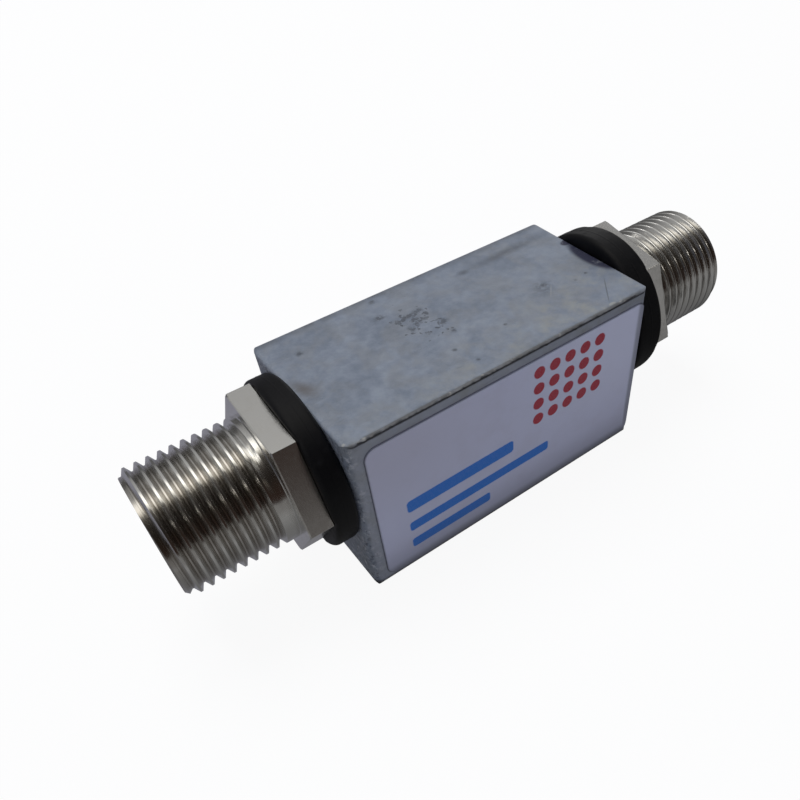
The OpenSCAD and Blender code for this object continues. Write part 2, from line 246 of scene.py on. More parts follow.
rings = {}
for side, name in sideNames.items():
    rings[side] = surfaceObject(name + "RubberRing", *ringSurface(side, 5 + side), sealingRing["sharpAngle"])
    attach(rings[side], "root")
    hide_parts(name + "_sealing_ring")
print("rings:", len(rings[1].data.polygons), "faces each")


# casting flash: ragged lip along the front top edge

castingFlash = dict(
    start=-12.6, end=12.3, samples=460, startFade=0.5, endFade=1.6, sink=0.06, sharpAngle=0.7,
    rise=0.035, out=0.075, drop=0.26, dropLeast=0.45, dropEnds=0.35,
    riseLine=(4, 3, 0.25), outLine=(3, 7, 0.2), dropLine=(3, 11, 0.0), dropSway=(14, 2, 0.5),  # width, seed, least
    # points round the section: outward offset and share of out, upward offset, share of rise, share of drop
    section=[(-0.34, 0, -0.03, 0, 0), (-0.2, 0, -0.005, 0.4, 0), (-0.06, 0, -0.01, 1, 0), (-0.01, 1, -0.05, 0, 0),
             (0, 1, 0, 0, 0.55), (0, 0.5, 0, 0, 1), (-0.1, 0, -0.02, 0, 1)],
)


# A closed section is carried along the edge: y = front - offset - share * out, z = top + offset + share * rise
# - share * drop. Rise, overhang and drop follow smoothed random lines, and the whole section sinks into the block
# where the lip fades.
def flashSurface():
    v = castingFlash

    def line(width, seed, least):
        return least + (1 - least) * softNoise(v["samples"], width, seed)

    x = np.linspace(v["start"], v["end"], v["samples"])
    shown = np.clip(np.minimum((x - v["start"]) / v["startFade"], (v["end"] - x) / v["endFade"]), 0, 1)
    rise = v["rise"] * line(*v["riseLine"]) * shown
    out = v["out"] * line(*v["outLine"]) * shown
    ragged = v["dropLeast"] + (1 - v["dropLeast"]) * line(*v["dropLine"]) * line(*v["dropSway"])
    drop = v["drop"] * ragged * (v["dropEnds"] + (1 - v["dropEnds"]) * shown)
    outAt, outShare, upAt, riseShare, dropShare = np.array(v["section"]).T
    sink = v["sink"] * (1 - shown)[:, None]
    y = blockFront - outAt - outShare * out[:, None] + sink
    z = blockTop + upAt + riseShare * rise[:, None] - dropShare * drop[:, None] - sink
    points = np.stack([x[:, None] + 0 * y, y, z], -1)
    startCap, endCap = [np.repeat(points[[at]].mean(1, keepdims=True), points.shape[1], 1) for at in (0, -1)]
    points = np.concatenate([startCap, points, endCap])
    return points, gridQuads(*points.shape[:2], False, True)


flash = surfaceObject("castingFlashLip", *flashSurface(), castingFlash["sharpAngle"])
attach(flash, "root")
print("flash:", len(flash.data.polygons), "faces")


# node helpers

def addNode(tree, kind, values=None, **settings):
    made = tree.nodes.new(kind)
    for key, value in settings.items():
        setattr(made, key, value)
    for key, value in (values or {}).items():
        if isinstance(value, bpy.types.NodeSocket):
            tree.links.new(value, made.inputs[key])
        else:
            made.inputs[key].default_value = value
    return made


def calc(tree, operation, *terms, clamp=False):
    return addNode(tree, "ShaderNodeMath", dict(enumerate(terms)), operation=operation, use_clamp=clamp).outputs[0]


def calcAll(tree, operation, terms):  # one operation over any number of terms, in order
    result = terms[0]
    for term in terms[1:]:
        result = calc(tree, operation, result, term)
    return result


def times(tree, *terms):
    return calcAll(tree, "MULTIPLY", terms)


def plus(tree, *terms):
    return calcAll(tree, "ADD", terms)


def most(tree, *terms):
    return calcAll(tree, "MAXIMUM", terms)


def minus(tree, first, second):
    return calc(tree, "SUBTRACT", first, second)


def absolute(tree, value):
    return calc(tree, "ABSOLUTE", value)


def hypotenuse(tree, a, b):
    return calc(tree, "SQRT", plus(tree, times(tree, a, a), times(tree, b, b)))


def blendColor(tree, amount, first, second):
    return addNode(tree, "ShaderNodeMix", {0: amount, 6: first, 7: second}, data_type="RGBA").outputs[2]


def stretch(tree, value, low, high, toLow=0.0, toHigh=1.0, kind="SMOOTHSTEP"):
    limits = {"Value": value, "From Min": low, "From Max": high, "To Min": toLow, "To Max": toHigh}
    return addNode(tree, "ShaderNodeMapRange", limits, interpolation_type=kind).outputs["Result"]


def noise(tree, vector, scale, detail=2.0, rough=0.5, warp=0.0):
    values = {"Vector": vector, "Scale": scale, "Detail": detail, "Roughness": rough, "Distortion": warp}
    return addNode(tree, "ShaderNodeTexNoise", values).outputs[0]


def noiseMask(tree, vector, texture, limits):  # noise values and the limits that it is stretched between
    return stretch(tree, noise(tree, vector, *texture), *limits)


def shaken(tree, vector, scale, detail, amount):  # vector moved about by a noise
    wobble = addNode(tree, "ShaderNodeTexNoise", {"Vector": vector, "Scale": scale, "Detail": detail}).outputs["Color"]
    shift = addNode(tree, "ShaderNodeVectorMath", {0: wobble, "Scale": amount}, operation="SCALE").outputs[0]
    return addNode(tree, "ShaderNodeVectorMath", {0: vector, 1: shift}, operation="ADD").outputs[0]


def splitAxes(tree, vector):
    return addNode(tree, "ShaderNodeSeparateXYZ", {0: vector}).outputs


def tint(r, g, b):
    return (r, g, b, 1.0)


def newGroup(name, inputs, outputs):
    tree = bpy.data.node_groups.new(name, "ShaderNodeTree")
    for label, value in inputs.items():
        kind = "NodeSocketVector" if value is None else "NodeSocketFloat"
        socket = tree.interface.new_socket(name=label, in_out="INPUT", socket_type=kind)
        if value is not None:
            socket.default_value = value
    for label in outputs:
        tree.interface.new_socket(name=label, in_out="OUTPUT", socket_type="NodeSocketFloat")
    return tree, tree.nodes.new("NodeGroupInput").outputs, tree.nodes.new("NodeGroupOutput").inputs


def placeGroup(tree, group, values):
    return addNode(tree, "ShaderNodeGroup", values, node_tree=group).outputs


# shared effects

def makeRoundedField():  # inside mask and outside distance of a rounded rectangle drawn on the front face, in mm
    tree, given, result = newGroup("roundedField", {
        "Vector": None, "Centre X": 0.0, "Centre Z": 0.0, "Half Width": 1.0, "Half Height": 1.0,
        "Corner": 0.3, "Soft": 0.05}, ["Mask", "Distance"])
    place = splitAxes(tree, given["Vector"])
    over = []
    for axis, half in (("X", "Half Width"), ("Z", "Half Height")):
        away = absolute(tree, minus(tree, place[axis], given["Centre " + axis]))
        over.append(plus(tree, minus(tree, away, given[half]), given["Corner"]))
    outside = hypotenuse(tree, *[most(tree, o, 0.0) for o in over])
    inside = calc(tree, "MINIMUM", most(tree, *over), 0.0)
    distance = minus(tree, plus(tree, outside, inside), given["Corner"])
    tree.links.new(distance, result["Distance"])
    ramp = calc(tree, "DIVIDE", distance, given["Soft"])
    tree.links.new(calc(tree, "SUBTRACT", 0.5, ramp, clamp=True), result["Mask"])
    return tree


pitShape = dict(bendScale=1.7, bendDetail=2.0, bend=0.35, growth=1.4, rim=(-0.05, 0.12))


def makePitField():  # scattered dark pits of uneven size, more where coverage is higher
    s = pitShape
    tree, given, result = newGroup("pitField", {"Vector": None, "Scale": 1.0, "Coverage": 0.3}, ["Mask"])
    bendScale = times(tree, given["Scale"], s["bendScale"])
    bent = shaken(tree, given["Vector"], bendScale, s["bendDetail"], s["bend"])
    cells = addNode(tree, "ShaderNodeTexVoronoi", {"Vector": bent, "Scale": given["Scale"], "Randomness": 1.0}).outputs
    pick = addNode(tree, "ShaderNodeSeparateColor", {0: cells["Color"]}).outputs[0]
    reach = times(tree, calc(tree, "SUBTRACT", given["Coverage"], pick, clamp=True), s["growth"])
    tree.links.new(stretch(tree, minus(tree, reach, cells["Distance"]), *s["rim"]), result["Mask"])
    return tree


scratchShape = dict(ways=((0.5, 0.05), (-0.9, 0.08)), width=0.012, patch=((0.45, 1.0), (0.5, 0.68)))


def makeHairLines():  # sparse fine scratches in two directions, each given by its turn and its stretch
    s = scratchShape
    tree, given, result = newGroup("hairLines", {"Vector": None, "Scale": 1.0, "Amount": 0.5}, ["Mask"])
    lines = []
    for turn, long in s["ways"]:
        mapping = {"Vector": given["Vector"], "Rotation": (0.0, 0.0, turn), "Scale": (long, 1.0, 1.0)}
        streak = noise(tree, addNode(tree, "ShaderNodeMapping", mapping).outputs[0], given["Scale"], 1.0)
        lines.append(stretch(tree, absolute(tree, minus(tree, streak, 0.5)), s["width"], 0.0))
    patch = noiseMask(tree, given["Vector"], *s["patch"])
    shown = times(tree, most(tree, *lines), patch)
    tree.links.new(calc(tree, "MULTIPLY", shown, given["Amount"], clamp=True), result["Mask"])
    return tree


castTexture = dict(cloud=(0.33, 5.0, 0.58, 0.6), patch=(1.5, 3.0, 0.55), fine=(7.0, 2.0, 0.6), cloudShare=0.62,
                   cloudLimits=(0.3, 0.7), patchLimits=(0.32, 0.7), fineLimits=(0.35, 0.68), patchHeight=0.6)


def makeCastSkin():  # mottled tone, light flecks and grain height of the as-cast zinc
    s = castTexture
    tree, given, result = newGroup("castSkin", {"Vector": None, "Grain": 0.5}, ["Tone", "Fleck", "Height"])
    cloud, patch, fine = [noise(tree, given["Vector"], *s[key]) for key in ("cloud", "patch", "fine")]
    clouds = times(tree, stretch(tree, cloud, *s["cloudLimits"]), s["cloudShare"])
    patches = times(tree, stretch(tree, patch, *s["patchLimits"]), 1 - s["cloudShare"])
    tree.links.new(plus(tree, clouds, patches), result["Tone"])
    tree.links.new(times(tree, stretch(tree, fine, *s["fineLimits"]), given["Grain"]), result["Fleck"])
    height = plus(tree, times(tree, fine, given["Grain"]), times(tree, patch, s["patchHeight"]))
    tree.links.new(height, result["Height"])
    return tree


roundedField, pitField, hairLines, castSkin = makeRoundedField(), makePitField(), makeHairLines(), makeCastSkin()
print("shared effects: 4 node groups")


def emptyMaterial(name):
    material = bpy.data.materials.new(name)
    material.use_nodes = True
    material.node_tree.nodes.clear()
    return material, material.node_tree


def startMaterial(name):  # material with object coordinates in mm
    material, tree = emptyMaterial(name)
    coordinates = addNode(tree, "ShaderNodeTexCoord").outputs["Object"]
    place = addNode(tree, "ShaderNodeMapping", {"Vector": coordinates, "Scale": (1000.0, 1000.0, 1000.0)}).outputs[0]
    return material, tree, place


def showShader(tree, shader, output="ShaderNodeOutputMaterial"):
    tree.links.new(shader, addNode(tree, output).inputs["Surface"])


def endMaterial(tree, color, rough, relief, distance, strength, metallic=0.0, specular=0.5):
    bump = addNode(tree, "ShaderNodeBump", {"Height": relief, "Distance": distance, "Strength": strength})
    showShader(tree, addNode(tree, "ShaderNodeBsdfPrincipled", {
        "Base Color": color, "Roughness": rough, "Metallic": metallic, "Specular IOR Level": specular,
        "Normal": bump.outputs[0]}).outputs[0])


def softSpot(tree, axes, edge, x, y, radiusX, radiusY, turn=0.0):  # elliptical patch on the top face, 1 inside edge
    dx, dy = minus(tree, axes["X"], x), minus(tree, axes["Y"], y)
    c, s = float(np.cos(turn)), float(np.sin(turn))
    along = plus(tree, times(tree, dx, c), times(tree, dy, s))
    across = minus(tree, times(tree, dy, c), times(tree, dx, s))
    away = hypotenuse(tree, calc(tree, "DIVIDE", along, radiusX), calc(tree, "DIVIDE", across, radiusY))
    return stretch(tree, away, 1.0, edge)


def pitsOn(tree, place, scale, coverage):
    return placeGroup(tree, pitField, {"Vector": place, "Scale": scale, "Coverage": coverage})["Mask"]


# zinc block

zinc = dict(
    dark=tint(0.184, 0.214, 0.262), light=tint(0.296, 0.331, 0.388), fleck=tint(0.37, 0.39, 0.43),
    rawLight=tint(0.56, 0.57, 0.60), rawDark=tint(0.085, 0.090, 0.102), strip=tint(0.47, 0.48, 0.52),
    warm=tint(0.325, 0.330, 0.315), tan=tint(0.262, 0.261, 0.250), pit=tint(0.075, 0.083, 0.098),
    stain=tint(0.150, 0.140, 0.135), shade=tint(0.036, 0.038, 0.066), scratch=tint(0.20, 0.22, 0.25),
    shadeAndGrime=tint(0.030, 0.030, 0.034), brim=tint(0.110, 0.108, 0.102), lip=tint(0.095, 0.092, 0.088),
    bare=tint(0.46, 0.45, 0.40), metallic=0.3, rough=0.48, roughSwing=-0.12, grain=0.35, endGrain=0.9,
    flecks=0.3, stripAmount=0.6, pits=0.75, clusterCover=0.95, clusterScale=2.3, blotches=0.6, scuffs=0.6,
    scuffEnds=0.65, hairs=0.55, scratchScale=2.2, scratches=0.3, scratchLight=0.4, chipLight=0.6,
    ragged=0.13, outline=0.6, groove=0.8, lipTone=0.5, lipWorn=0.7, lipUnder=0.9,
    pitDepth=0.6, carve=1.3, bumpDistance=0.00006, bump=0.55,
)

# noise values (scale, detail, roughness, warp) and the limits that each is stretched between
zincPatterns = dict(
    rawLight=((2.1, 6.0, 0.78), (0.50, 0.64)), rawDark=((3.3, 4.0, 0.7, 0.4), (0.50, 0.36, 0.0, 0.75)),
    warm=((0.7, 4.0, 0.6), (0.4, 0.75)), tan=((0.55, 5.0, 0.6, 0.4), (0.42, 0.64, 0.0, 0.32)),
    backEdge=((0.8, 3.0), (0.3, 0.6, 0.3, 1.0)), broken=((3.1, 3.0, 0.6), (0.31, 0.57)),
    streaks=((1.3, 3.0), (0.0, 0.5)), stain=((1.4, 3.0), (0.2, 0.5, 0.0, 0.85)), shade=((1.6, 3.0), (0.2, 0.42)),
    brim=((1.2, 3.0), (0.3, 0.6, 0.25, 0.75)), worn=((0.9, 3.0), (0.60, 0.70)),
)

# marks on the top face: x, y, radius along, radius across, turn; each list with the edge where its spots are full
zincMarks = dict(
    cluster=(0.1, [(-2.35, 1.1, 2.6, 4.6, 0.25)]), blotch=(0.0, [(7.3, -1.4, 1.6, 1.3, 0.4)]),
    stain=(0.0, [(-12.6, 0.1, 1.0, 2.0, 0.3)]), shade=(0.7, [(13.6, -0.4, 1.55, 3.2), (13.3, 2.4, 0.8, 0.5)]),
    scuff=(0.0, [(8.4, 4.56, 6.2, 0.8, 0.03)]), scuffEnd=(0.0, [(4.05, 4.42, 0.9, 0.5, 0.04)]),
    hair=(0.5, [(10.7, -4.75, 2.05, 0.07, 0.907)]), scratch=(0.5, [(7.5, -2.05, 1.1, 0.07, 0.83)]),
    chips=(0.5, [(9.75, -6.3, 0.4, 0.2), (-3.4, -6.5, 0.16, 0.14), (-13.2, -6.2, 0.14, 0.14)]),
    spots=(0.2, [(-4.4, 3.6, 0.75, 0.45), (-3.65, 5.7, 0.5, 0.35), (-11.0, 3.7, 0.4, 0.45), (-1.75, -5.0, 0.32, 0.2),
                 (-1.7, 2.5, 0.75, 0.45), (-2.7, 2.35, 0.5, 0.4), (-1.0, 0.15, 0.65, 0.6), (-3.3, 0.9, 0.45, 0.55),
                 (-1.1, -1.25, 0.3, 0.4), (7.6, -1.1, 0.5, 0.45), (-2.4, -3.1, 0.3, 0.25), (2.15, -3.1, 0.25, 0.2),
                 (9.9, -2.2, 0.22, 0.2), (11.2, -2.0, 0.25, 0.2)]),
)


# where each effect starts and is full, in mm from a face of the block or along an axis, and how strong it gets
zincZones = dict(
    endFace=(-0.7, -0.1), rawSkin=(-1.3, -0.6), onTop=(-0.3, -0.1), onFront=(0.25, 0.05), under=(-0.02, -0.07),
    towardsBack=(-8.0, 14.0, 0.0, 0.35), towardsFront=(0.5, -8.0), backEdge=(5.6, 6.5, 0.0, 0.55),
    low=(0.95, 0.5), nearFront=(1.0, 0.4, 0.35, 0.88),
    brim=(0.22, 0.1), outline=(0.05, 0.02), grooveTop=(-0.1, -0.13), grooveFoot=(-0.26, -0.18),
    backSlope=0.6, frontSlope=-0.25, brimRagged=3.0, grooveRagged=0.5, raggedNoise=(2.6, 2.0),
)


def zincMaterial(name, flashEdge=False):
    z, zones = zinc, zincZones
    material, tree, place = startMaterial(name)
    axes = splitAxes(tree, place)
    x, y, height = axes["X"], axes["Y"], axes["Z"]

    def pattern(key):
        return noiseMask(tree, place, *zincPatterns[key])

    def mark(key):
        edge, spots = zincMarks[key]
        return most(tree, *[softSpot(tree, axes, edge, *spot) for spot in spots])

    def zone(value, face, key):
        start, full, *strength = zones[key]
        return stretch(tree, value, face + start, face + full, *strength)

    def over(color, tone, *masks):  # a tone laid over the colour as far as all its masks allow
        return blendColor(tree, times(tree, *masks), color, z[tone])

    # cast skin, raw on the end faces, lighter on the front face, painted shade darkening the top to the back and right,
    # warmer to the front
    fromMiddle = absolute(tree, x)
    onTop, onFront = zone(height, blockTop, "onTop"), zone(y, blockFront, "onFront")
    grain = plus(tree, z["grain"], times(tree, zone(fromMiddle, halfBlock, "endFace"), z["endGrain"]))
    skin = placeGroup(tree, castSkin, {"Vector": place, "Grain": grain})
    color = blendColor(tree, skin["Tone"], z["dark"], z["light"])
    color = over(color, "fleck", skin["Fleck"], z["flecks"])
    rawSkin = times(tree, zone(fromMiddle, halfBlock, "rawSkin"), minus(tree, 1.0, onTop))
    color = over(color, "rawLight", rawSkin, pattern("rawLight"))
    color = over(color, "rawDark", rawSkin, pattern("rawDark"))
    color = over(color, "strip", onFront, z["stripAmount"])
    # painted shade: the top face darker towards the back and the right
    towardsBack = plus(tree, x, times(tree, y, zones["backSlope"]))
    color = over(color, "dark", zone(towardsBack, 0.0, "towardsBack"), onTop)
    towardsFront = plus(tree, y, times(tree, x, zones["frontSlope"]))
    color = over(color, "warm", zone(towardsFront, 0.0, "towardsFront"), pattern("warm"))
    color = over(color, "tan", pattern("tan"), onTop)
    color = over(color, "pit", zone(y, 0.0, "backEdge"), pattern("backEdge"), onTop)

    # pits, scuffs, stains and scratches of the top face, and the painted shadow of the right ring
    speckle = pitsOn(tree, place, z["clusterScale"], times(tree, mark("cluster"), z["clusterCover"]))
    broken = pattern("broken")
    blotch = times(tree, mark("blotch"), broken, z["blotches"])
    pits = times(tree, most(tree, blotch, times(tree, most(tree, speckle, mark("spots")), broken)), onTop)
    scuffs = times(tree, mark("scuff"), pattern("streaks"), z["scuffs"])
    scuffEnds = times(tree, mark("scuffEnd"), z["scuffEnds"])
    marks = most(tree, scuffs, scuffEnds, times(tree, mark("hair"), z["hairs"]))
    lines = {"Vector": place, "Scale": z["scratchScale"], "Amount": z["scratches"]}
    scratches = placeGroup(tree, hairLines, lines)["Mask"]
    color = over(color, "stain", mark("stain"), pattern("stain"), onTop)
    # painted shadow of the right sealing ring on the top face, by the end of the block
    color = over(color, "shade", mark("shade"), pattern("shade"), onTop)
    color = over(color, "pit", most(tree, times(tree, pits, z["pits"]), times(tree, marks, onTop)))
    color = over(color, "scratch", scratches)
    chips = most(tree, times(tree, mark("scratch"), z["scratchLight"]), mark("chips"))
    color = over(color, "bare", chips, onTop, z["chipLight"])

    # darkened edges: a ragged darker brim of the top face, dirt and painted shade at the outline of the label, painted
    # shade in the groove under the lip and along the lower edge
    ragged = times(tree, noise(tree, place, *zones["raggedNoise"]), z["ragged"])
    start, full = zones["brim"]
    brimStart = plus(tree, blockFront + start, times(tree, ragged, zones["brimRagged"]))
    color = over(color, "brim", stretch(tree, y, brimStart, blockFront + full), onTop, pattern("brim"))
    start, full = zones["outline"]
    outline = times(tree, stretch(tree, labelEdge(tree, place), plus(tree, start, ragged), full), onFront)
    start, full = zones["grooveTop"]
    grooveFull = minus(tree, blockTop + full, times(tree, ragged, zones["grooveRagged"]))
    groove = times(tree, stretch(tree, height, blockTop + start, grooveFull), onFront)
    start, full = zones["grooveFoot"]
    groove = times(tree, groove, stretch(tree, height, minus(tree, blockTop + start, ragged), blockTop + full))
    low = times(tree, zone(height, 0.0, "low"), zone(y, blockFront, "nearFront"))
    shadedAndSoiled = most(tree, times(tree, outline, z["outline"]), times(tree, groove, z["groove"]), low)
    color = over(color, "shadeAndGrime", shadedAndSoiled)
    if flashEdge:
        color = over(color, "lip", z["lipTone"])
        color = over(color, "bare", pattern("worn"), z["lipWorn"])
        # painted shade under the lip
        color = over(color, "shadeAndGrime", zone(height, blockTop, "under"), z["lipUnder"])

    carved = times(tree, most(tree, times(tree, pits, z["pitDepth"]), scratches), z["carve"])
    relief = minus(tree, skin["Height"], carved)
    rough = plus(tree, z["rough"], times(tree, minus(tree, skin["Tone"], 0.5), z["roughSwing"]))
    endMaterial(tree, color, rough, relief, z["bumpDistance"], z["bump"], metallic=z["metallic"])
    return material


# nickel-plated ports

nickel = dict(
    base=tint(0.72, 0.712, 0.695), dull=tint(0.60, 0.585, 0.56), dirt=tint(0.36, 0.325, 0.285),
    rough=0.11, dullRough=0.06, valleyRough=0.05, latheRough=0.06, hexRough=0.06, dullness=0.45, specks=0.6,
    threadFrom=(4.5, 4.8), valley=(4.62, 4.27), hex=(4.82, 4.95),  # from the end face; by radius; by radius
    latheStretch=(26.0, 1.1, 1.1), lathe=(1.0, 3.0, 0.6), tarnish=((0.8, 4.0, 0.6), (0.45, 0.75)),
    dirtNoise=(1.4, 3.0), dirtLeast=0.3, dirtSwing=0.5, speckScale=1.6, speckCover=0.07, speckDepth=0.8,
    bumpDistance=0.000012, bump=0.6,
)


def nickelMaterial():
    n = nickel
    material, tree, place = startMaterial("nickelPlate")
    axes = splitAxes(tree, place)
    radius = hypotenuse(tree, axes["Y"], minus(tree, axes["Z"], axisHeight))
    inThread = stretch(tree, absolute(tree, axes["X"]), *[halfBlock + at for at in n["threadFrom"]])
    valley = times(tree, stretch(tree, radius, *n["valley"]), inThread)
    onHex = stretch(tree, radius, *n["hex"])
    turned = addNode(tree, "ShaderNodeMapping", {"Vector": place, "Scale": n["latheStretch"]}).outputs[0]
    lathe = noise(tree, turned, *n["lathe"])
    tarnish = noiseMask(tree, place, *n["tarnish"])
    specks = pitsOn(tree, place, n["speckScale"], n["speckCover"])
    color = blendColor(tree, times(tree, tarnish, n["dullness"]), n["base"], n["dull"])
    dirty = plus(tree, n["dirtLeast"], times(tree, noise(tree, place, *n["dirtNoise"]), n["dirtSwing"]))
    color = blendColor(tree, times(tree, valley, dirty), color, n["dirt"])
    color = blendColor(tree, times(tree, specks, n["specks"]), color, n["dirt"])
    rough = plus(tree, n["rough"], times(tree, tarnish, n["dullRough"]), times(tree, valley, n["valleyRough"]),
                 times(tree, lathe, n["latheRough"]), times(tree, onHex, n["hexRough"]))
    relief = minus(tree, lathe, times(tree, specks, n["speckDepth"]))
    endMaterial(tree, color, rough, relief, n["bumpDistance"], n["bump"], metallic=1.0)
    return material


# rubber

rubber = dict(base=tint(0.0034, 0.0034, 0.0044), dust=tint(0.014, 0.0135, 0.0145), rough=0.5, dustRough=0.2,
              film=((1.1, 4.0, 0.62), (0.5, 0.8)), filmAmount=0.45, specks=0.6, speckScale=3.0, speckCover=0.06,
              grain=(9.0, 2.0), specular=0.22, bumpDistance=0.00002, bump=0.4)


def rubberMaterial():
    r = rubber
    material, tree, place = startMaterial("blackRubber")
    film = noiseMask(tree, place, *r["film"])
    specks = pitsOn(tree, place, r["speckScale"], r["speckCover"])
    dusty = most(tree, times(tree, film, r["filmAmount"]), times(tree, specks, r["specks"]))
    color = blendColor(tree, dusty, r["base"], r["dust"])
    rough = plus(tree, r["rough"], times(tree, film, r["dustRough"]))
    grain = noise(tree, place, *r["grain"])
    endMaterial(tree, color, rough, grain, r["bumpDistance"], r["bump"], specular=r["specular"])
    return material


# label film with plain colour fields

labelFilm = dict(
    paper=tint(0.67, 0.67, 0.80), worn=tint(0.58, 0.56, 0.64), paintedLight=tint(0.78, 0.78, 0.91), rim=tint(0.12, 0.12, 0.14),
    paintedShade=tint(0.09, 0.09, 0.09), red=tint(0.47, 0.012, 0.030), blue=tint(0.012, 0.190, 0.66), corner=0.9, rough=0.36,
    dots=(1.6, 7.7, 1.5, 5, 4, 0.52),  # left edge, lower edge, pitch, columns, rows, radius of the red dots
    # centre x and z, half width and height, corner of the blue fields
    blueFields=[(-5.0, 7.1, 4.9, 0.6, 0.3), (-3.2, 4.9, 6.7, 0.48, 0.24), (-6.2, 3.0, 3.7, 0.48, 0.24)],
    bleed=(9.0, 1.0, 0.05), softEdge=0.09, dotSoft=0.05, ink=(14.0, 2.0), inkLeast=0.86, inkSwing=0.2, inkHeight=0.35,
    wear=((0.5, 4.0, 0.6), (0.42, 0.75)), wearAmount=0.35, wearRough=0.12, film=(1.6, 3.0),
    rimSpan=(-0.12, 0.02), rimAmount=0.45, specular=0.4, bumpDistance=0.00001, bump=0.5,
    # limits along x or z in mm, and how strong each gets
    # painted shade low on the film, to its left and along its lower and right edge, painted light at its upper right
    lower=(6.0, 1.0, 0.0, 0.35), shadedLeftX=(2.0, -12.0), shadedLeftZ=(5.0, 13.0, 0.0, 0.7), paintedLightX=(-2.0, 12.0),
    paintedLightZ=(3.0, 11.0, 0.0, 0.8), paintedShadeLow=(4.2, 1.5, 0.0, 0.2), paintedShadeFoot=(1.9, 0.95, 0.0, 0.5),
    paintedShadeRight=(12.2, 12.6, 0.0, 0.55),
)


def labelEdge(tree, place):  # distance outward from the outline of the label
    return placeGroup(tree, roundedField, {
        "Vector": place, "Corner": labelFilm["corner"],
        "Centre X": (labelLow.x + labelHigh.x) / 2 / mm, "Centre Z": (labelLow.z + labelHigh.z) / 2 / mm,
        "Half Width": (labelHigh.x - labelLow.x) / 2 / mm, "Half Height": (labelHigh.z - labelLow.z) / 2 / mm,
    })["Distance"]


def labelMaterial():
    p = labelFilm
    material, tree, place = startMaterial("labelFilm")
    axes = splitAxes(tree, place)
    bled = shaken(tree, place, *p["bleed"])

    # print: rounded bars, and a grid of dots by the distance from the middle of each cell
    bars = []
    for x, z, halfWidth, halfHeight, corner in p["blueFields"]:
        bars.append(placeGroup(tree, roundedField, {
            "Vector": bled, "Centre X": x, "Centre Z": z, "Half Width": halfWidth, "Half Height": halfHeight,
            "Corner": corner, "Soft": p["softEdge"]})["Mask"])
    blue = most(tree, *bars)
    left, bottom, pitch, columns, rows, dotRadius = p["dots"]
    spot = splitAxes(tree, bled)
    fromMiddle, inGrid = [], []
    for axis, start, count in (("X", left, columns), ("Z", bottom, rows)):
        cell = calc(tree, "DIVIDE", minus(tree, spot[axis], start), pitch)
        fromMiddle.append(minus(tree, calc(tree, "FRACT", cell), 0.5))
        inGrid += [calc(tree, "GREATER_THAN", cell, 0.0), calc(tree, "LESS_THAN", cell, float(count))]
    away = times(tree, hypotenuse(tree, *fromMiddle), pitch)
    red = times(tree, *inGrid, stretch(tree, away, dotRadius + p["dotSoft"], dotRadius - p["dotSoft"]))
    ink = times(tree, noise(tree, place, *p["ink"]), p["inkSwing"])
    ink = calc(tree, "ADD", p["inkLeast"], ink, clamp=True)

    # film worn all over, with painted shade low, far left and along its lower and right edge, and painted light at the
    # upper right
    wear = noiseMask(tree, place, *p["wear"])
    shadedLeft = times(tree, stretch(tree, axes["X"], *p["shadedLeftX"]), stretch(tree, axes["Z"], *p["shadedLeftZ"]))
    paintedLight = times(tree, stretch(tree, axes["X"], *p["paintedLightX"]), stretch(tree, axes["Z"], *p["paintedLightZ"]))
    paintedShade = plus(tree, stretch(tree, axes["Z"], *p["paintedShadeLow"]), stretch(tree, axes["Z"], *p["paintedShadeFoot"]))
    paintedShade = most(tree, paintedShade, stretch(tree, axes["X"], *p["paintedShadeRight"]))
    rim = times(tree, stretch(tree, labelEdge(tree, place), *p["rimSpan"]), p["rimAmount"])
    color = p["paper"]
    # the worn tone is wear where the wear noise lays it, and painted shade where it is laid low and to the left
    for amount, tone in ((times(tree, wear, p["wearAmount"]), "worn"), (stretch(tree, axes["Z"], *p["lower"]), "worn"),
                         (shadedLeft, "worn"), (paintedLight, "paintedLight"), (times(tree, red, ink), "red"),
                         (times(tree, blue, ink), "blue"), (paintedShade, "paintedShade"), (rim, "rim")):
        color = blendColor(tree, amount, color, p[tone])
    rough = plus(tree, p["rough"], times(tree, wear, p["wearRough"]))
    relief = plus(tree, noise(tree, place, *p["film"]), times(tree, most(tree, red, blue), p["inkHeight"]))
    endMaterial(tree, color, rough, relief, p["bumpDistance"], p["bump"], specular=p["specular"])
    return material


# inner pieces

innerFinishes = dict(
    whiteInsulator=dict(first=tint(0.80, 0.785, 0.73), second=tint(0.72, 0.70, 0.63), metallic=0.0, rough=0.42,
                        scale=0.9, grain=6.0, depth=0.00001),
    contactBrass=dict(first=tint(0.76, 0.60, 0.30), second=tint(0.60, 0.45, 0.22), metallic=1.0, rough=0.22,
                      scale=1.4, grain=12.0, depth=0.000006),
    tubeCeramic=dict(first=tint(0.84, 0.83, 0.80), second=tint(0.76, 0.74, 0.70), metallic=0.0, rough=0.5,
                     scale=1.2, grain=9.0, depth=0.000012),
    electrodeMetal=dict(first=tint(0.66, 0.66, 0.68), second=tint(0.52, 0.52, 0.53), metallic=1.0, rough=0.28,
                        scale=1.1, grain=11.0, depth=0.000008),
    springSteel=dict(first=tint(0.60, 0.59, 0.57), second=tint(0.46, 0.45, 0.43), metallic=1.0, rough=0.25,
                     scale=1.0, grain=14.0, depth=0.000006),
)
innerWear = dict(patch=(4.0, 0.6), patchLimits=(0.35, 0.7), patchRough=0.12, speckTone=tint(0.12, 0.11, 0.10),
                 specks=0.4, speckScale=2.4, speckCover=0.05, grainDetail=2.0, bump=0.5)


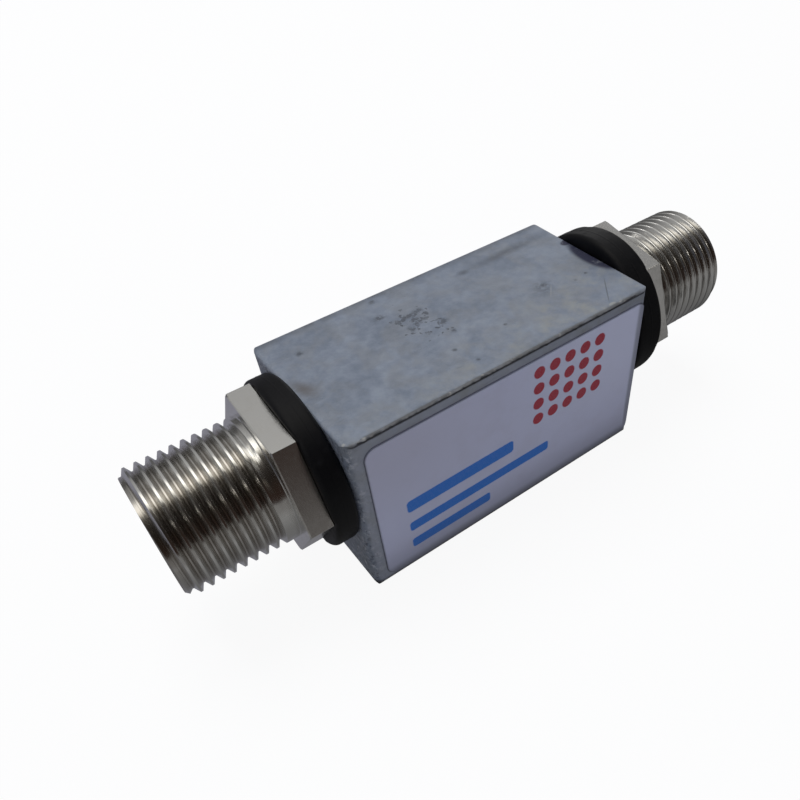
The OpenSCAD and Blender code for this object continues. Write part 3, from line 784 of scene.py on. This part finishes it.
def innerMaterial(name):
    f, w = innerFinishes[name], innerWear
    material, tree, place = startMaterial(name)
    patch = noiseMask(tree, place, (f["scale"], *w["patch"]), w["patchLimits"])
    specks = pitsOn(tree, place, w["speckScale"], w["speckCover"])
    color = blendColor(tree, patch, f["first"], f["second"])
    color = blendColor(tree, times(tree, specks, w["specks"]), color, w["speckTone"])
    rough = plus(tree, f["rough"], times(tree, patch, w["patchRough"]))
    grain = noise(tree, place, f["grain"], w["grainDetail"])
    endMaterial(tree, color, rough, grain, f["depth"], w["bump"], metallic=f["metallic"])
    return material


def dress(target, material):
    target.data.materials.clear()
    target.data.materials.append(material)


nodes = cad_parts
zincSkin, nickelSkin, rubberSkin = zincMaterial("zincCasting"), nickelMaterial(), rubberMaterial()
for name in ("housing", "bottom_cover"):
    dress(nodes[name], zincSkin)
dress(flash, zincMaterial("zincFlash", True))
dress(nodes["label"], labelMaterial())
for side in sideNames:
    dress(ports[side], nickelSkin)
    dress(rings[side], rubberSkin)
innerPieces = dict(
    whiteInsulator=["left_front_insulator", "right_front_insulator", "left_rear_insulator", "right_rear_insulator"],
    contactBrass=["left_contact", "right_contact", "line_bar"], tubeCeramic=["gas_tube_ceramic"],
    electrodeMetal=["gas_tube_line_electrode", "gas_tube_earth_electrode"], springSteel=["earth_spring"],
)
for finish, names in innerPieces.items():
    skin = innerMaterial(finish)
    for name in names:
        dress(nodes[name], skin)
print("materials:", len(bpy.data.materials))


# stage: floor, reflection screen, light, camera

stageValues = dict(
    floorHalf=0.9, floorGlow=0.93, floorTone=tint(0.94, 0.94, 0.94), floorBounce=tint(0.42, 0.42, 0.42),
    white=tint(1, 1, 1), black=tint(0, 0, 0), worldFill=tint(0.76, 0.82, 1.0), worldStrength=0.40,
    keyFrom=(0.0, 0.18, 0.46), keyAim=(0, 0, 0.01), keySize=(0.28, 0.28), keyPower=1.38, keyColor=(0.98, 0.985, 1.0),
    screenRadius=0.32, screenHalf=0.55, screenSweep=190, screenSteps=60, screenRamp=(0, 200), capDepth=0.002,
    # brightness that the metal mirrors, by angle in degrees from the back over the top to the front
    screen=[(0, 0.12), (20, 0.12), (34, 0.32), (48, (0.41, 0.41, 0.405)), (62, (0.46, 0.46, 0.455)),
            (70, (1.3, 1.28, 1.22)), (83, (2.0, 1.95, 1.82)), (91, (1.2, 1.16, 1.04)), (99, (0.10, 0.09, 0.08)),
            (120, (0.03, 0.026, 0.023)), (137, (0.018, 0.015, 0.013)), (153, (0.026, 0.018, 0.014)),
            (174, (0.030, 0.018, 0.014)), (181, (0.048, 0.039, 0.035)), (190, 0.15)],
    # the same far out to the right, past farFrom along the axis
    farScreen=[(0, 0.48), (21, 0.85), (33, 0.68), (48, 0.36), (66, 0.33), (80, 0.16), (110, 0.14),
               (138, (0.15, 0.13, 0.105)), (155, (0.055, 0.048, 0.045)), (172, (0.075, 0.071, 0.068)),
               (188, (0.235, 0.233, 0.23))],
    farFrom=(0.125, 0.20), leftCap=tint(0.09, 0.09, 0.10), rightCap=tint(0.07, 0.07, 0.07),
    lamps=[(27, 7.0, tint(4.5, 4.4, 4.3)), (131, 7.0, tint(3.8, 3.65, 3.35))],  # angle, half width, colour
    lampSpan=(0.318, 0.04), lampCore=0.6,  # place and half length along the axis, share at full brightness
    # brightness of the mat by place from front to back, in metres
    mat=[(-0.035, (0.20, 0.195, 0.19)), (-0.022, 0.27), (-0.014, 0.22), (-0.009, 0.175), (-0.004, (0.16, 0.16, 0.165)),
         (0.004, (0.25, 0.25, 0.29))],
    matRamp=(-0.05, 0.05), matLift=0.00004, matShade=(0.014, 0.028, 0.0, 0.65),
    matFar=tint(0.27, 0.268, 0.266), matFarX=(0.03, 0.05), matFarY=(-0.03, -0.045),
)


def lightPathMask(tree):  # rays that should see the white background
    rays = addNode(tree, "ShaderNodeLightPath").outputs
    return most(tree, rays["Is Camera Ray"], most(tree, rays["Is Glossy Ray"], rays["Is Transmission Ray"]))


def mixShader(tree, share, first, second):
    return addNode(tree, "ShaderNodeMixShader", {0: share, 1: first, 2: second}).outputs[0]


def diffuse(tree, color):
    return addNode(tree, "ShaderNodeBsdfDiffuse", {"Color": color}).outputs[0]


def emission(tree, color):
    return addNode(tree, "ShaderNodeEmission", {"Color": color}).outputs[0]


def floorMaterial():
    v = stageValues
    material, tree = emptyMaterial("paleFloor")
    seen = mixShader(tree, v["floorGlow"], diffuse(tree, v["floorTone"]), emission(tree, v["white"]))
    showShader(tree, mixShader(tree, lightPathMask(tree), diffuse(tree, v["floorBounce"]), seen))
    return material


def glowMaterial(name, color):
    material, tree = emptyMaterial(name)
    coordinates = addNode(tree, "ShaderNodeTexCoord").outputs["Object"]
    showShader(tree, emission(tree, color(tree, splitAxes(tree, coordinates))))
    return material


def stageSheet(name, points, rows, cols, material):
    mesh = bpy.data.meshes.new(name)
    mesh.from_pydata(points.reshape(-1, 3).tolist(), [], gridQuads(rows, cols, False, False).tolist())
    mesh.materials.append(material)
    made = linkObject(name, mesh)
    return made


def onlyInReflections(card):
    card.visible_camera = card.visible_diffuse = card.visible_shadow = False
    card.visible_transmission = card.visible_volume_scatter = False


def rampColor(tree, value, stops, low, high):  # a stop is a place and a grey or a colour
    share = stretch(tree, value, low, high, kind="LINEAR")
    ramp = addNode(tree, "ShaderNodeValToRGB", {0: share})
    elements = ramp.color_ramp.elements
    for count, (at, color) in enumerate(stops):
        place = (at - low) / (high - low)
        stop = elements[count] if count < 2 else elements.new(place)
        stop.position, stop.color = place, tint(*np.broadcast_to(color, 3))
    return ramp.outputs[0]


def screenColor(tree, place):  # colour by the angle round the coax axis, from the back over the top to the front
    v = stageValues
    angle = calc(tree, "ARCTAN2", minus(tree, place["Z"], axisHeight * mm), place["Y"])
    angle = calc(tree, "MODULO", plus(tree, times(tree, angle, 180 / np.pi), 360.0), 360.0)
    near, far = [rampColor(tree, angle, v[stops], *v["screenRamp"]) for stops in ("screen", "farScreen")]
    color = blendColor(tree, stretch(tree, place["X"], *v["farFrom"]), near, far)
    lampPlace, lampHalf = v["lampSpan"]
    fromLamp = absolute(tree, minus(tree, place["X"], lampPlace))
    alongLamp = stretch(tree, fromLamp, lampHalf, lampHalf * v["lampCore"])
    for at, halfWidth, glow in v["lamps"]:
        acrossLamp = stretch(tree, absolute(tree, minus(tree, angle, float(at))), halfWidth, 0.0)
        color = blendColor(tree, times(tree, alongLamp, acrossLamp), color, glow)
    ends = v["screenHalf"] - v["capDepth"]
    color = blendColor(tree, calc(tree, "LESS_THAN", place["X"], -ends), color, v["leftCap"])
    return blendColor(tree, calc(tree, "GREATER_THAN", place["X"], ends), color, v["rightCap"])


def matColor(tree, place):  # colour from front to back, darker from the right port on, with one paler corner
    v = stageValues
    color = rampColor(tree, place["Y"], v["mat"], *v["matRamp"])
    color = blendColor(tree, stretch(tree, place["X"], *v["matShade"]), color, v["black"])
    farCorner = times(tree, stretch(tree, place["X"], *v["matFarX"]), stretch(tree, place["Y"], *v["matFarY"]))
    return blendColor(tree, farCorner, color, v["matFar"])


half = stageValues["floorHalf"]
corners = np.array([[[-half, -half, 0], [half, -half, 0]], [[-half, half, 0], [half, half, 0]]])
stageSheet("paleFloorSheet", corners, 2, 2, floorMaterial())
matCorners = corners + [0, 0, stageValues["matLift"]]
matSheet = stageSheet("reflectionMat", matCorners, 2, 2, glowMaterial("matGlow", matColor))
steps = stageValues["screenSteps"]
turn = np.radians(np.linspace(0, stageValues["screenSweep"], steps))[:, None]
across = stageValues["screenHalf"] * np.array([-1, -1, 1, 1])  # the first and last column close the tunnel's ends
reach = stageValues["screenRadius"] * np.array([0, 1, 1, 0])
arc = np.stack([across + 0 * turn, reach * np.cos(turn), axisHeight * mm + reach * np.sin(turn)], -1)
screenSheet = stageSheet("reflectionScreen", arc, steps, 4, glowMaterial("screenGlow", screenColor))
for card in (matSheet, screenSheet):
    onlyInReflections(card)

world = bpy.data.worlds.new("whiteWorld")
bpy.context.scene.world = world
world.use_nodes = True
sky = world.node_tree
sky.nodes.clear()
fillLight = {"Color": stageValues["worldFill"], "Strength": stageValues["worldStrength"]}
fill = addNode(sky, "ShaderNodeBackground", fillLight).outputs[0]
white = addNode(sky, "ShaderNodeBackground", {"Color": stageValues["white"], "Strength": 1.0}).outputs[0]
showShader(sky, mixShader(sky, lightPathMask(sky), fill, white), "ShaderNodeOutputWorld")

lamp = bpy.data.lights.new("keySoftbox", "AREA")
lamp.shape = "RECTANGLE"
lamp.size, lamp.size_y = stageValues["keySize"]
lamp.energy, lamp.color = stageValues["keyPower"], stageValues["keyColor"]
key = linkObject("keySoftbox", lamp)
key.location = stageValues["keyFrom"]
key.rotation_euler = (Vector(stageValues["keyAim"]) - key.location).to_track_quat("-Z", "Y").to_euler()
key.visible_glossy = False  # the screen is what the metal mirrors

cameraView = dict(  # place in mm, three directions, focal length and centre in pixels of the frame
    place=(-24.3801, -35.8783, 45.5465), right=(0.793156, -0.607388, -0.044541),
    down=(-0.467042, -0.559685, -0.684562), forward=(0.390865, 0.563767, -0.727593),
    focal=705.379, centre=(470.811, 462.384), frame=800, sensor=36.0, clip=(0.002, 10.0),
)
lens = bpy.data.cameras.new("productCamera")
lens.sensor_fit, lens.sensor_width = "HORIZONTAL", cameraView["sensor"]
lens.lens = cameraView["sensor"] * cameraView["focal"] / cameraView["frame"]
lens.shift_x = 0.5 - cameraView["centre"][0] / cameraView["frame"]
lens.shift_y = cameraView["centre"][1] / cameraView["frame"] - 0.5
lens.clip_start, lens.clip_end = cameraView["clip"]
camera = linkObject("productCamera", lens)
up, back = [[-part for part in cameraView[way]] for way in ("down", "forward")]
turned = Matrix([cameraView["right"], up, back]).transposed()
camera.matrix_world = Matrix.Translation(Vector(cameraView["place"]) * mm) @ turned.to_4x4()
bpy.context.scene.camera = camera
bpy.context.scene.view_settings.view_transform = "Standard"
print("stage, light and camera set")
